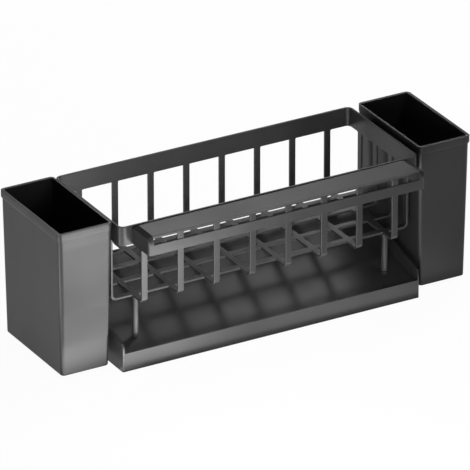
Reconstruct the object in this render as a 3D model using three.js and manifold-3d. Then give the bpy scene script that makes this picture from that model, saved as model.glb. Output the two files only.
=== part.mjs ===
// Sink organizer: a slotted basket on four posts in a sloped drip tray, with a towel rail across
// its front and a deep box hung on each end. Millimetres, X along the length, Y to the back, Z up.
import * as THREE from "three";
import { mergeVertices } from "three/addons/utils/BufferGeometryUtils.js";
import Module from "manifold-3d";

const wasm = await Module();
wasm.setup();

// Basket
const BASKET_LENGTH = 300;
const BASKET_DEPTH = 120;
const BASKET_TOP = 137.5;
const BAND_HEIGHT = 18;
const CORNER_RADIUS = 6;
const SHEET = 2;
const GRATE_TOP = 62;
const BEND_RADIUS = 5;
const BAR_WIDTH = 6;
const PUNCH_RADIUS = 1;
const CROSS_INSET = 24;
const CROSS_COUNT = 8;
const LONG_INSET = 19.95;
const LONG_COUNT = 4;
const SEAM = 0.3;

// Posts and their push-in tips
const POST_DIAMETER = 5.6;
const POST_INSET = 17.5;
const TIP_HEIGHT = 2;
const PLUG_DIAMETER = 3;
const PLUG_HEIGHT = 4;
const PLUG_CLEARANCE = 0.3;

// Drip tray
const TRAY_OVERHANG = 3.5;
const TRAY_SKIN = 2;
const TRAY_LIP_RISE = 2.3;
const FLOOR_FRONT = 15.1;
const FLOOR_SLOPE_SHARE = 0.284;
const TRAY_SIDE_RISE = 10.6;
const TRAY_BACK_TOP = 51.2;
const TRAY_NOSE_RADIUS = 7;
const TRAY_CORNER_RADIUS = 1.2;

// Towel rail
const RAIL_INSET = 11.9;
const RAIL_REACH = 30;
const RAIL_DROP = 0.2;
const RAIL_HEIGHT = 17;
const RAIL_SHEET = 1.5;
const RAIL_END_RADIUS = 1.3;
const SHOULDER_RUN = 5.5;
const SHOULDER_DROP = 1.6;
const RAIL_NOSE_RADIUS = 6;
const RAIL_FLANGE_HEIGHT = 12;
const SLOT_BRIDGE = 5.1;
const SLOT_SETBACK = 2.7;
const SLOT_HEIGHT = 7.6;

// Rail screws
const SCREW_INSET = 50;
const SCREW_DROP = 7.5;
const SCREW_DIAMETER = 3.6;
const SCREW_HOLE = 4.4;
const SCREW_HEAD_DIAMETER = 7;
const SCREW_HEAD_HEIGHT = 2;
const SCREW_EDGE_HEIGHT = 0.8;
const SCREW_CROWN_DIAMETER = 5.2;
const SCREW_CROWN_HEIGHT = 1.6;
const SCREW_REACH = 6;

// Side boxes
const BOX_WIDTH = 53;
const BOX_DEPTH = 109;
const BOX_RISE = 4;
const BOX_HEIGHT = 137.5;
const BOX_WALL = 2;
const BOX_FLOOR = 2.4;
const BOX_RADIUS = 4;
const INNER_TAPER = 3;
const OUTER_TAPER = 2.4;
const END_TAPER = 1.7;
const RIM_HEIGHT = 7;
const RIM_STEP = 1;
const FOOT_ROUND = 1.2;

// Hangers on the basket and the hooks on the boxes that drop into them
const STRIP = 0.7;
const HANGER_LENGTH = 18;
const HOOK_LENGTH = 14;
const HANGER_SPACING = 56;
const HANGER_RISE = 1.5;
const HANGER_HEIGHT = 12;
const HANGER_LIP_HEIGHT = 9.7;
const HOOK_LEG = 7.3;

const ROUND_SEGMENTS = 8;
const PUNCH_SEGMENTS = 2;
const FOOT_SEGMENTS = 3;
const CYLINDER_SEGMENTS = 24;
const WELD_DISTANCE = 1e-4;

// The closed solid inside a surface.
function solid(geometry) {
  const bare = new THREE.BufferGeometry().setAttribute(
    "position",
    (geometry.index ? geometry.toNonIndexed() : geometry).getAttribute("position"),
  );
  const merged = mergeVertices(bare, WELD_DISTANCE);
  return new wasm.Manifold(
    new wasm.Mesh({
      numProp: 3,
      vertProperties: merged.attributes.position.array,
      triVerts: new Uint32Array(merged.index.array),
    }),
  );
}

// The surface of a solid, shaded flat.
function geometryOf(body) {
  const mesh = body.getMesh();
  const positions = new Float32Array(mesh.numVert * 3);
  for (let i = 0; i < mesh.numVert; i++) {
    const at = i * mesh.numProp;
    positions.set(mesh.vertProperties.subarray(at, at + 3), i * 3);
  }
  const geometry = new THREE.BufferGeometry()
    .setAttribute("position", new THREE.BufferAttribute(positions, 3))
    .setIndex(new THREE.BufferAttribute(new Uint32Array(mesh.triVerts), 1));
  const flat = geometry.toNonIndexed();
  flat.computeVertexNormals();
  return flat;
}

function united(bodies) {
  return bodies.reduce((sum, body) => sum.add(body));
}

function extruded(shape, depth, segments = ROUND_SEGMENTS) {
  return new THREE.ExtrudeGeometry(shape, {
    depth,
    bevelEnabled: false,
    curveSegments: segments,
  });
}

// A plan outline in (x, y) raised from z = bottom to z = top.
function raised(shape, bottom, top, segments) {
  return solid(extruded(shape, top - bottom, segments).translate(0, 0, bottom));
}

// An outline in (y, z) swept along x, from one x to the other.
function sweptAlongX(shape, from, to) {
  const turn = new THREE.Matrix4().makeBasis(
    new THREE.Vector3(0, 1, 0),
    new THREE.Vector3(0, 0, 1),
    new THREE.Vector3(1, 0, 0),
  );
  return solid(extruded(shape, to - from).applyMatrix4(turn).translate(from, 0, 0));
}

// An outline in (z, x) swept along y, from one y to the other.
function sweptAlongY(shape, from, to) {
  const turn = new THREE.Matrix4().makeBasis(
    new THREE.Vector3(0, 0, 1),
    new THREE.Vector3(1, 0, 0),
    new THREE.Vector3(0, 1, 0),
  );
  return solid(extruded(shape, to - from).applyMatrix4(turn).translate(0, from, 0));
}

// An upright round bar between two heights.
function upright(diameter, bottom, top, x, y) {
  const bar = new THREE.CylinderGeometry(
    diameter / 2,
    diameter / 2,
    top - bottom,
    CYLINDER_SEGMENTS,
  );
  return solid(bar.rotateX(Math.PI / 2).translate(x, y, (top + bottom) / 2));
}

// A round bar along y between two depths.
function pin(diameter, front, back, x, z) {
  const bar = new THREE.CylinderGeometry(
    diameter / 2,
    diameter / 2,
    back - front,
    CYLINDER_SEGMENTS,
  );
  return solid(bar.translate(x, (front + back) / 2, z));
}

function outline(points) {
  return new THREE.Shape(points.map(([a, b]) => new THREE.Vector2(a, b)));
}

function roundedRectangle(width, depth, radius) {
  const a = width / 2;
  const b = depth / 2;
  const shape = new THREE.Shape();
  shape.moveTo(radius - a, -b);
  shape.absarc(a - radius, radius - b, radius, -Math.PI / 2, 0, false);
  shape.absarc(a - radius, b - radius, radius, 0, Math.PI / 2, false);
  shape.absarc(radius - a, b - radius, radius, Math.PI / 2, Math.PI, false);
  shape.absarc(radius - a, radius - b, radius, Math.PI, Math.PI * 1.5, false);
  return shape;
}

// The places of count pieces evenly over a span, middle on zero.
function spread(count, span) {
  return Array.from({ length: count }, (_, i) => (i / (count - 1) - 1 / 2) * span);
}

const crossPlaces = spread(CROSS_COUNT, BASKET_LENGTH - 2 * CROSS_INSET);
const longPlaces = spread(LONG_COUNT, BASKET_DEPTH - 2 * LONG_INSET);
const halfLength = BASKET_LENGTH / 2;
const halfDepth = BASKET_DEPTH / 2;
const bandBottom = BASKET_TOP - BAND_HEIGHT;
const grateBottom = GRATE_TOP - SHEET;
const trayFront = halfDepth + TRAY_OVERHANG;
const railFront = halfDepth + RAIL_REACH;
const railTop = BASKET_TOP - RAIL_DROP;
const railBottom = railTop - RAIL_HEIGHT;
const railHalfLength = halfLength - RAIL_INSET;
const screwHeight = BASKET_TOP - SCREW_DROP;
const screwPlaces = spread(2, BASKET_LENGTH - 2 * SCREW_INSET);
const boxTop = BASKET_TOP + BOX_RISE;
const boxBottom = boxTop - BOX_HEIGHT;

// The clear spans between neighbouring bars, and from the outermost bars out past the sheet.
function spansBetween(places, limit) {
  const starts = [-limit, ...places.map((at) => at + BAR_WIDTH / 2)];
  const ends = [...places.map((at) => at - BAR_WIDTH / 2), limit];
  return starts.map((from, i) => [from, ends[i]]);
}

// The flat grate: one sheet, up to where its strips bend upwards, with every opening punched out.
function basketBase() {
  const reachX = 2 * (halfLength - BEND_RADIUS - SEAM);
  const reachY = 2 * (halfDepth - BEND_RADIUS - SEAM);
  const sheet = raised(roundedRectangle(reachX, reachY, PUNCH_RADIUS), grateBottom, GRATE_TOP);
  const punches = spansBetween(crossPlaces, BASKET_LENGTH).flatMap(([left, right]) =>
    spansBetween(longPlaces, BASKET_LENGTH).map(([front, back]) =>
      raised(
        roundedRectangle(right - left, back - front, PUNCH_RADIUS),
        grateBottom - SHEET,
        GRATE_TOP + SHEET,
        PUNCH_SEGMENTS,
      ).translate([(left + right) / 2, (front + back) / 2, 0]),
    ),
  );
  return sheet.subtract(united(punches));
}

// Side view of one bent-up bar, as distance from the wall's outer face and height.
function barProfile() {
  const centre = grateBottom + BEND_RADIUS;
  const shape = new THREE.Shape();
  shape.moveTo(BEND_RADIUS, grateBottom);
  shape.absarc(BEND_RADIUS, centre, BEND_RADIUS, -Math.PI / 2, -Math.PI, true);
  shape.lineTo(0, bandBottom + SHEET);
  shape.lineTo(SHEET, bandBottom + SHEET);
  shape.lineTo(SHEET, centre);
  shape.absarc(BEND_RADIUS, centre, BEND_RADIUS - SHEET, -Math.PI, -Math.PI / 2, false);
  return shape;
}

// Front panel, band and bars, with the band's two rounded corners. The rail screws pass through it.
function longPanel(screwed) {
  const endY = CORNER_RADIUS - halfDepth;
  const cornerX = halfLength - CORNER_RADIUS;
  const inner = CORNER_RADIUS - SHEET;
  const band = new THREE.Shape();
  band.moveTo(-halfLength, endY);
  band.absarc(-cornerX, endY, CORNER_RADIUS, Math.PI, Math.PI * 1.5, false);
  band.absarc(cornerX, endY, CORNER_RADIUS, -Math.PI / 2, 0, false);
  band.absarc(cornerX, endY, inner, 0, -Math.PI / 2, true);
  band.absarc(-cornerX, endY, inner, Math.PI * 1.5, Math.PI, true);
  const profile = barProfile();
  const bars = crossPlaces.map((x) =>
    sweptAlongX(profile, x - BAR_WIDTH / 2, x + BAR_WIDTH / 2).translate([0, -halfDepth, 0]),
  );
  let panel = united([raised(band, bandBottom, BASKET_TOP), ...bars]);
  if (screwed) {
    for (const x of screwPlaces)
      panel = panel.subtract(pin(SCREW_HOLE, -2 * halfDepth, 0, x, screwHeight));
  }
  return panel;
}

// End panel, band and bars, at the left; mirrored for the right.
function endPanel() {
  const reach = halfDepth - CORNER_RADIUS - SEAM;
  const band = outline([
    [-halfLength, -reach],
    [SHEET - halfLength, -reach],
    [SHEET - halfLength, reach],
    [-halfLength, reach],
  ]);
  const profile = barProfile();
  const quarter = [0, 0, 90];
  const bars = longPlaces.map((y) =>
    sweptAlongX(profile, -BAR_WIDTH / 2, BAR_WIDTH / 2)
      .rotate(quarter)
      .mirror([1, 0, 0])
      .translate([-halfLength, y, 0]),
  );
  return united([raised(band, bandBottom, BASKET_TOP), ...bars]);
}

function floorHeight(y) {
  return FLOOR_FRONT + FLOOR_SLOPE_SHARE * (y + trayFront);
}

// The tray's side view, side walls included.
function traySideView() {
  const noseTop = FLOOR_FRONT + TRAY_SIDE_RISE;
  const levelFrom = (TRAY_BACK_TOP - noseTop) / FLOOR_SLOPE_SHARE - trayFront;
  const shape = new THREE.Shape();
  shape.moveTo(-trayFront, 0);
  shape.lineTo(halfDepth, 0);
  shape.lineTo(halfDepth, TRAY_BACK_TOP);
  shape.lineTo(levelFrom, TRAY_BACK_TOP);
  shape.lineTo(
    TRAY_NOSE_RADIUS - trayFront,
    noseTop + TRAY_NOSE_RADIUS * FLOOR_SLOPE_SHARE,
  );
  shape.quadraticCurveTo(-trayFront, noseTop, -trayFront, noseTop - TRAY_NOSE_RADIUS);
  return shape;
}

// One skin: sloped floor, skirts down to the counter, side walls above the floor and a low front lip.
function dripTray() {
  const inFront = TRAY_SKIN - trayFront;
  const inBack = halfDepth - TRAY_SKIN;
  const inSide = halfLength - TRAY_SKIN;
  const above = outline([
    [inFront, floorHeight(inFront)],
    [inBack, floorHeight(inBack)],
    [inBack, BASKET_TOP],
    [inFront, BASKET_TOP],
  ]);
  const below = outline([
    [inFront, -TRAY_SKIN],
    [inBack, -TRAY_SKIN],
    [inBack, floorHeight(inBack) - TRAY_SKIN],
    [inFront, floorHeight(inFront) - TRAY_SKIN],
  ]);
  const lip = FLOOR_FRONT + TRAY_LIP_RISE;
  const overLip = outline([
    [-2 * trayFront, lip],
    [inFront + TRAY_SKIN, lip],
    [inFront + TRAY_SKIN, BASKET_TOP],
    [-2 * trayFront, BASKET_TOP],
  ]);
  const plan = roundedRectangle(BASKET_LENGTH, trayFront + halfDepth, TRAY_CORNER_RADIUS);
  return sweptAlongX(traySideView(), -halfLength, halfLength)
    .intersect(raised(plan, 0, BASKET_TOP).translate([0, (halfDepth - trayFront) / 2, 0]))
    .subtract(sweptAlongX(above, -inSide, inSide))
    .subtract(sweptAlongX(below, -inSide, inSide))
    .subtract(sweptAlongX(overLip, -inSide, inSide));
}

// The hood's outer or inner form: rounded ends in plan, slanted shoulders from the front and a
// rounded nose from the side, all drawn in by inset.
function hoodForm(inset, bottom) {
  const reach = railHalfLength - inset;
  const front = inset - railFront;
  const top = railTop - inset;
  const back = inset - halfDepth - SEAM;
  const end = RAIL_END_RADIUS - inset / 2;
  const slant = Math.atan2(SHOULDER_DROP, SHOULDER_RUN);
  const run = SHOULDER_RUN - inset * (1 - Math.tan(slant / 2));
  const drop = run * Math.tan(slant);
  const nose = RAIL_NOSE_RADIUS - inset;
  const plan = new THREE.Shape();
  plan.moveTo(reach, back - 2 * inset);
  plan.lineTo(-reach, back - 2 * inset);
  plan.absarc(end - reach, front + end, end, Math.PI, Math.PI * 1.5, false);
  plan.absarc(reach - end, front + end, end, -Math.PI / 2, 0, false);
  const face = outline([
    [bottom, -reach],
    [top - drop, -reach],
    [top, run - reach],
    [top, reach - run],
    [top - drop, reach],
    [bottom, reach],
  ]);
  const side = new THREE.Shape();
  side.moveTo(front, bottom);
  side.lineTo(0, bottom);
  side.lineTo(0, top);
  side.absarc(front + nose, top - nose, nose, Math.PI / 2, Math.PI, false);
  return raised(plan, bottom, railTop)
    .intersect(sweptAlongY(face, -railFront, 0))
    .intersect(sweptAlongX(side, -railHalfLength, railHalfLength));
}

// The towel rail: a pressed hood with a slot along its nose for the cloth, and a flange at the back.
function towelRail() {
  const sill = railTop - SLOT_HEIGHT;
  const plateEdge = SLOT_SETBACK - railFront;
  const reach = railHalfLength - SLOT_BRIDGE;
  const cloth = outline([
    [-2 * railFront, sill],
    [plateEdge, sill],
    [plateEdge, 2 * railTop],
    [-2 * railFront, 2 * railTop],
  ]);
  const underFlange = outline([
    [-halfDepth - RAIL_SHEET - 2 * SEAM, 0],
    [0, 0],
    [0, railTop - RAIL_FLANGE_HEIGHT],
    [-halfDepth - RAIL_SHEET - 2 * SEAM, railTop - RAIL_FLANGE_HEIGHT],
  ]);
  const inSide = railHalfLength - RAIL_SHEET;
  let rail = hoodForm(0, railBottom)
    .subtract(hoodForm(RAIL_SHEET, railBottom - RAIL_SHEET))
    .subtract(sweptAlongX(cloth, -reach, reach))
    .subtract(sweptAlongX(underFlange, -inSide, inSide));
  for (const x of screwPlaces)
    rail = rail.subtract(pin(SCREW_HOLE, -railFront + RAIL_NOSE_RADIUS, 0, x, screwHeight));
  return rail;
}

// A low domed screw from inside the basket, through the band and the rail's flange.
function railScrew(x) {
  const seat = SHEET - halfDepth + SEAM;
  const r = SCREW_HEAD_DIAMETER / 2;
  const s = SCREW_DIAMETER / 2;
  const section = [
    new THREE.Vector2(0, -SCREW_REACH),
    new THREE.Vector2(s, -SCREW_REACH),
    new THREE.Vector2(s, 0),
    new THREE.Vector2(r, 0),
    new THREE.Vector2(r, SCREW_EDGE_HEIGHT),
    new THREE.Vector2(SCREW_CROWN_DIAMETER / 2, SCREW_CROWN_HEIGHT),
    new THREE.Vector2(0, SCREW_HEAD_HEIGHT),
  ];
  return solid(new THREE.LatheGeometry(section, CYLINDER_SEGMENTS).translate(x, seat, screwHeight));
}

function postFoot(y) {
  return floorHeight(y + POST_DIAMETER / 2) + TIP_HEIGHT;
}

// A post from under the grate down to its tip, with a blind hole for the tip's plug.
function post(x, y) {
  const foot = postFoot(y);
  const hole = PLUG_DIAMETER + 2 * PLUG_CLEARANCE;
  return upright(POST_DIAMETER, foot, grateBottom - SEAM, x, y).subtract(
    upright(hole, foot - TIP_HEIGHT, foot + PLUG_HEIGHT + PLUG_CLEARANCE, x, y),
  );
}

// A rubber tip, cut below to the floor's slope.
function postTip(x, y) {
  const foot = postFoot(y) - PLUG_CLEARANCE;
  const low = floorHeight(y - POST_DIAMETER) - TIP_HEIGHT;
  const lift = 2 * PLUG_CLEARANCE;
  const floorBody = outline([
    [y - 2 * POST_DIAMETER, 0],
    [y + 2 * POST_DIAMETER, 0],
    [y + 2 * POST_DIAMETER, floorHeight(y + 2 * POST_DIAMETER) + lift / 2],
    [y - 2 * POST_DIAMETER, floorHeight(y - 2 * POST_DIAMETER) + lift / 2],
  ]);
  return upright(POST_DIAMETER, low, foot, x, y)
    .add(upright(PLUG_DIAMETER, low, foot + PLUG_HEIGHT, x, y))
    .subtract(sweptAlongX(floorBody, x - POST_DIAMETER, x + POST_DIAMETER));
}

// Hanger and hook lie strip against strip between the basket's end and the box.
const layer = STRIP + SEAM;
const wallLegX = halfLength + SEAM;
const hookLegX = wallLegX + layer;
const lipX = hookLegX + layer;
const hookBackX = lipX + layer;
const hangerBottom = bandBottom + HANGER_RISE;
const lipTop = hangerBottom + HANGER_LIP_HEIGHT;
const boxInnerX = hookBackX + layer - (INNER_TAPER * (boxTop - lipTop)) / BOX_HEIGHT;

// A hanger seen from the front, for the right end: wall leg, sill and upturned lip.
function hanger(y) {
  const section = outline([
    [hangerBottom, wallLegX],
    [hangerBottom + HANGER_HEIGHT, wallLegX],
    [hangerBottom + HANGER_HEIGHT, wallLegX + STRIP],
    [hangerBottom + STRIP, wallLegX + STRIP],
    [hangerBottom + STRIP, lipX],
    [lipTop, lipX],
    [lipTop, lipX + STRIP],
    [hangerBottom, lipX + STRIP],
  ]);
  return sweptAlongY(section, y - HANGER_LENGTH / 2, y + HANGER_LENGTH / 2);
}

// A hook seen from the front, for the right box: back leg on the box, top, and a leg down inside
// the hanger's lip.
function boxHook(y) {
  const under = lipTop + SEAM;
  const top = under + STRIP;
  const section = outline([
    [top - HOOK_LEG, hookLegX],
    [top, hookLegX],
    [top, hookBackX + STRIP],
    [top - HOOK_LEG, hookBackX + STRIP],
    [top - HOOK_LEG, hookBackX],
    [under, hookBackX],
    [under, hookLegX + STRIP],
    [top - HOOK_LEG, hookLegX + STRIP],
  ]);
  return sweptAlongY(section, y - HOOK_LENGTH / 2, y + HOOK_LENGTH / 2);
}

// A round-cornered block standing against x = 0, its foot edge rounded. It narrows towards the foot
// on all four sides.
function draftedBlock(inset, bottom, top) {
  const width = BOX_WIDTH - RIM_STEP - 2 * inset;
  const depth = BOX_DEPTH - 2 * RIM_STEP - 2 * inset;
  const plan = roundedRectangle(width, depth, BOX_RADIUS - inset / 2);
  const geometry = new THREE.ExtrudeGeometry(plan, {
    depth: top - bottom - 2 * FOOT_ROUND,
    bevelEnabled: true,
    bevelThickness: FOOT_ROUND,
    bevelSize: FOOT_ROUND,
    bevelOffset: -FOOT_ROUND,
    bevelSegments: FOOT_SEGMENTS,
    curveSegments: ROUND_SEGMENTS,
  });
  const position = geometry.getAttribute("position");
  for (let i = 0; i < position.count; i++) {
    const z = position.getZ(i) + bottom + FOOT_ROUND;
    const drop = (boxTop - z) / (boxTop - boxBottom);
    const x = position.getX(i) + width / 2 + inset;
    const y = position.getY(i);
    position.setXYZ(
      i,
      x * (1 - ((INNER_TAPER + OUTER_TAPER) * drop) / BOX_WIDTH) + INNER_TAPER * drop,
      y * (1 - (2 * END_TAPER * drop) / BOX_DEPTH),
      z,
    );
  }
  return solid(geometry);
}

// A side box with its inner side on x = 0: thin drafted walls and a stepped rim.
function sideBox() {
  const tall = boxTop + RIM_HEIGHT;
  const plan = roundedRectangle(BOX_WIDTH, BOX_DEPTH, BOX_RADIUS);
  const level = raised(plan, boxBottom, boxTop).translate([BOX_WIDTH / 2, 0, 0]);
  const rim = raised(plan, boxTop - RIM_HEIGHT, boxTop).translate([BOX_WIDTH / 2, 0, 0]);
  return draftedBlock(0, boxBottom, tall)
    .intersect(level)
    .add(rim)
    .subtract(draftedBlock(BOX_WALL, boxBottom + BOX_FLOOR, tall));
}

const finishes = {
  basket: { color: 0x17181a, roughness: 0.42, metalness: 0.3 },
  rail: { color: 0x18191b, roughness: 0.4, metalness: 0.3 },
  post: { color: 0x1b1c1e, roughness: 0.3, metalness: 0.5 },
  screw: { color: 0x2a2b2d, roughness: 0.35, metalness: 0.8 },
  tray: { color: 0x151617, roughness: 0.3, metalness: 0 },
  box: { color: 0x161718, roughness: 0.45, metalness: 0 },
  tip: { color: 0x0d0d0e, roughness: 0.8, metalness: 0 },
  steel: { color: 0x1e1f21, roughness: 0.45, metalness: 0.5 },
};

const organizer = new THREE.Group();

function place(name, body, finish) {
  const mesh = new THREE.Mesh(
    geometryOf(body),
    new THREE.MeshStandardMaterial(finishes[finish]),
  );
  mesh.name = name;
  organizer.add(mesh);
}

function mirroredInX(body) {
  return body.mirror([1, 0, 0]);
}

function mirroredInY(body) {
  return body.mirror([0, 1, 0]);
}

place("drip_tray", dripTray(), "tray");
place("basket_base", basketBase(), "basket");
place("basket_front", longPanel(true), "basket");
place("basket_back", mirroredInY(longPanel(false)), "basket");
const leftPanel = endPanel();
place("basket_left", leftPanel, "basket");
place("basket_right", mirroredInX(leftPanel), "basket");
place("towel_rail", towelRail(), "rail");
const [screwLeft, screwRight] = screwPlaces;
place("rail_screw_left", railScrew(screwLeft), "screw");
place("rail_screw_right", railScrew(screwRight), "screw");

const postX = crossPlaces[crossPlaces.length - 1];
const postY = halfDepth - POST_INSET;
for (const [side, x] of [["left", -postX], ["right", postX]]) {
  for (const [end, y] of [["front", -postY], ["back", postY]]) {
    place(`post_${end}_${side}`, post(x, y), "post");
    place(`post_tip_${end}_${side}`, postTip(x, y), "tip");
  }
}

const box = sideBox().translate([boxInnerX, 0, 0]);
place("left_box", mirroredInX(box), "box");
place("right_box", box, "box");
for (const [end, y] of [["front", -HANGER_SPACING / 2], ["back", HANGER_SPACING / 2]]) {
  place(`left_hanger_${end}`, mirroredInX(hanger(y)), "steel");
  place(`right_hanger_${end}`, hanger(y), "steel");
  place(`left_hook_${end}`, mirroredInX(boxHook(y)), "steel");
  place(`right_hook_${end}`, boxHook(y), "steel");
}

// The part's frame has its origin under the middle of the whole, which reaches from the rail's
// front to the basket's back.
organizer.position.y = (railFront - halfDepth) / 2;

export default organizer;
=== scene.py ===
"""Looks of the sink organizer: basket, posts, towel rail, drip tray and hanging boxes in black.

All lengths are metres in the part's frame: X along the length, Y to the back, Z up from the counter.
"""
from __future__ import annotations

import logging
import math
from collections.abc import Callable
from dataclasses import dataclass, replace
from enum import Enum

import bmesh
import bpy
from mathutils import Euler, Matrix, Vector


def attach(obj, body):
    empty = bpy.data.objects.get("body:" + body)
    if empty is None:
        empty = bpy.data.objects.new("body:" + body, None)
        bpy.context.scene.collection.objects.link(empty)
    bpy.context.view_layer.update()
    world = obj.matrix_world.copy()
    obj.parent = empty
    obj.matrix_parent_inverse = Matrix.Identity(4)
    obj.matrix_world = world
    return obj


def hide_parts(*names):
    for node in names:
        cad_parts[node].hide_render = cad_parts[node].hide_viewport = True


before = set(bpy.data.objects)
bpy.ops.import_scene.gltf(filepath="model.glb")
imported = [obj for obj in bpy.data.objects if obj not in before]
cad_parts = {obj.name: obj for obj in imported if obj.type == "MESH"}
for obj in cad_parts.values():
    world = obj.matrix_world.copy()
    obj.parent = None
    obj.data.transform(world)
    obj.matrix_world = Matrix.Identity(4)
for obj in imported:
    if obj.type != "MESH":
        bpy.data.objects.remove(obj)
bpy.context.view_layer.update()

log = logging.getLogger("sink_organizer")

Point = tuple[float, float, float]
PlaceTest = Callable[[Vector], bool]
EdgeTest = Callable[[Vector, Vector], bool]
FaceTest = Callable[[Vector, Vector], bool]

BASKET_MIDDLE_Y = 0.015
ROD_SIDES = 48
# Places that are nearer than this to each other are the same place.
HAIR = 2e-5
# A unit direction with more than this along an axis lies along that axis.
ALONG = 0.9
# Folds that turn more than this many degrees look crisp.
CREASE = 35
# A face that is narrower than this is a strip of a rounded edge.
STRIP_WIDTH = 0.00042
# Where the folds at a strip's point add up to more than this, the point is on the edge's crown.
CROWN_TURN = math.radians(20)
# Crowns of rounded edges, whose colour is painted lighter: a painted edge highlight, patchy like
# wear.
EDGE_HIGHLIGHT_AND_WEAR = "edge_highlight_and_wear"
# Nearly all values of a noise lie between these two.
NOISE_LOW = 0.3
NOISE_HIGH = 0.7


class Body(Enum):
    """A body that pieces ride on."""

    TRAY = "tray"
    BASKET = "basket"
    LEFT_BOX = "left_box"
    RIGHT_BOX = "right_box"


class Row(Enum):
    """A row of pieces along the front or the back, with its sign along Y."""

    FRONT = -1
    BACK = 1

    @property
    def word(self) -> str:
        """The row's name in lower case."""
        return self.name.lower()


class Slot(Enum):
    """A material slot of the record."""

    STEEL = "coated_steel"
    TRAY = "tray_plastic"
    BOX = "box_plastic"
    RUBBER = "rubber"
    FIXING = "dark_steel"


def deselect_all() -> None:
    """Leave edit mode and select nothing."""
    if bpy.context.object is not None and bpy.context.object.mode != "OBJECT":
        bpy.ops.object.mode_set(mode="OBJECT")
    bpy.ops.object.select_all(action="DESELECT")


def hold(thing: bpy.types.Object) -> None:
    """Make one object the only selected and active one."""
    deselect_all()
    thing.select_set(True)
    bpy.context.view_layer.objects.active = thing


class Workpiece:
    """A mesh on the bench, shaped in edit mode with Blender's own operators."""

    def __init__(self, thing: bpy.types.Object) -> None:
        """Take an object that is already on the bench.

        Args:
            thing: A mesh object in edit mode.
        """
        self.thing = thing

    @classmethod
    def _taken(cls, name: str, size: Point) -> Workpiece:
        """Name the new primitive, give it its size and enter edit mode.

        Args:
            name: The piece's name.
            size: Its extents along X, Y and Z.

        Returns:
            The workpiece, all selected, its object at the origin.
        """
        thing = bpy.context.object
        thing.name = thing.data.name = name
        thing.scale = size
        bpy.ops.object.transform_apply(location=True, rotation=True, scale=True)
        bpy.ops.object.mode_set(mode="EDIT")
        return cls(thing)

    @classmethod
    def reopened(cls, thing: bpy.types.Object) -> Workpiece:
        """Go back to edit mode with a piece that was closed.

        Args:
            thing: The piece.

        Returns:
            The workpiece.
        """
        hold(thing)
        bpy.ops.object.mode_set(mode="EDIT")
        return cls(thing)

    @classmethod
    def sheet(cls, name: str, width: float, depth: float, centre: Point) -> Workpiece:
        """Start from a flat sheet facing up.

        Args:
            name: The piece's name.
            width: Extent along X.
            depth: Extent along Y.
            centre: Its middle.

        Returns:
            The workpiece.
        """
        deselect_all()
        bpy.ops.mesh.primitive_plane_add(size=1, location=centre)
        return cls._taken(name, (width, depth, 1))

    @classmethod
    def block(cls, name: str, low: Point, high: Point) -> Workpiece:
        """Start from a rectangular block.

        Args:
            name: The piece's name.
            low: Its lowest corner.
            high: Its highest corner.

        Returns:
            The workpiece.
        """
        deselect_all()
        centre = [(a + b) / 2 for a, b in zip(low, high)]
        bpy.ops.mesh.primitive_cube_add(size=1, location=centre)
        return cls._taken(name, tuple(b - a for a, b in zip(low, high)))

    @classmethod
    def rod(
        cls,
        name: str,
        radius: float,
        start: Point,
        height: float,
        along_y: bool = False,
    ) -> Workpiece:
        """Start from a round rod, upright or along Y.

        Args:
            name: The piece's name.
            radius: Its radius.
            start: The middle of its lower or front end.
            height: Its length.
            along_y: Whether it lies along Y.

        Returns:
            The workpiece.
        """
        deselect_all()
        way = Vector((0, 1, 0)) if along_y else Vector((0, 0, 1))
        bpy.ops.mesh.primitive_cylinder_add(
            vertices=ROD_SIDES,
            radius=radius,
            depth=height,
            location=Vector(start) + way * (height / 2),
            rotation=(-math.pi / 2 if along_y else 0, 0, 0),
        )
        return cls._taken(name, (1, 1, 1))

    def _mode(self, kind: str) -> bmesh.types.BMesh:
        """Clear the selection and choose what is selected next.

        Args:
            kind: VERT, EDGE or FACE.

        Returns:
            The mesh being edited.
        """
        bpy.ops.mesh.select_mode(type=kind)
        bpy.ops.mesh.select_all(action="DESELECT")
        return bmesh.from_edit_mesh(self.thing.data)

    def _shown(self, mesh: bmesh.types.BMesh) -> None:
        """Carry the selection over to the edited mesh."""
        mesh.select_flush_mode()
        bmesh.update_edit_mesh(self.thing.data)

    def points(self, test: PlaceTest) -> Workpiece:
        """Select the points whose place passes the test.

        Args:
            test: Takes a point's place.

        Returns:
            The workpiece itself.
        """
        mesh = self._mode("VERT")
        for vert in mesh.verts:
            if test(vert.co):
                vert.select_set(True)
        self._shown(mesh)
        return self

    def edges(self, test: EdgeTest) -> Workpiece:
        """Select the edges whose middle and direction pass the test.

        Args:
            test: Takes an edge's middle and its unit direction.

        Returns:
            The workpiece itself.
        """
        mesh = self._mode("EDGE")
        for edge in mesh.edges:
            start, end = edge.verts[0].co, edge.verts[1].co
            if test((start + end) / 2, (end - start).normalized()):
                edge.select_set(True)
        self._shown(mesh)
        return self

    def faces(self, test: FaceTest) -> Workpiece:
        """Select the faces whose middle and normal pass the test.

        Args:
            test: Takes a face's middle and its normal.

        Returns:
            The workpiece itself.
        """
        mesh = self._mode("FACE")
        for face in mesh.faces:
            if test(face.calc_center_median(), face.normal):
                face.select_set(True)
        self._shown(mesh)
        return self

    def all(self) -> Workpiece:
        """Select everything."""
        bpy.ops.mesh.select_all(action="SELECT")
        return self

    def extrude(self, move: Point) -> Workpiece:
        """Extrude the selected region by a move and keep the new part selected."""
        bpy.ops.mesh.extrude_region_move(TRANSFORM_OT_translate={"value": move})
        return self

    def move(self, by: Point) -> Workpiece:
        """Move the selection."""
        bpy.ops.transform.translate(value=by)
        return self

    def resize(self, by: Point, about: Point) -> Workpiece:
        """Scale the selection about a place."""
        bpy.ops.transform.resize(value=by, center_override=about)
        return self

    def turn(self, angle: float, axis: str, about: Point) -> Workpiece:
        """Turn the selection about a place, by the right-hand rule."""
        bpy.ops.transform.rotate(value=-angle, orient_axis=axis, center_override=about)
        return self

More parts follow.
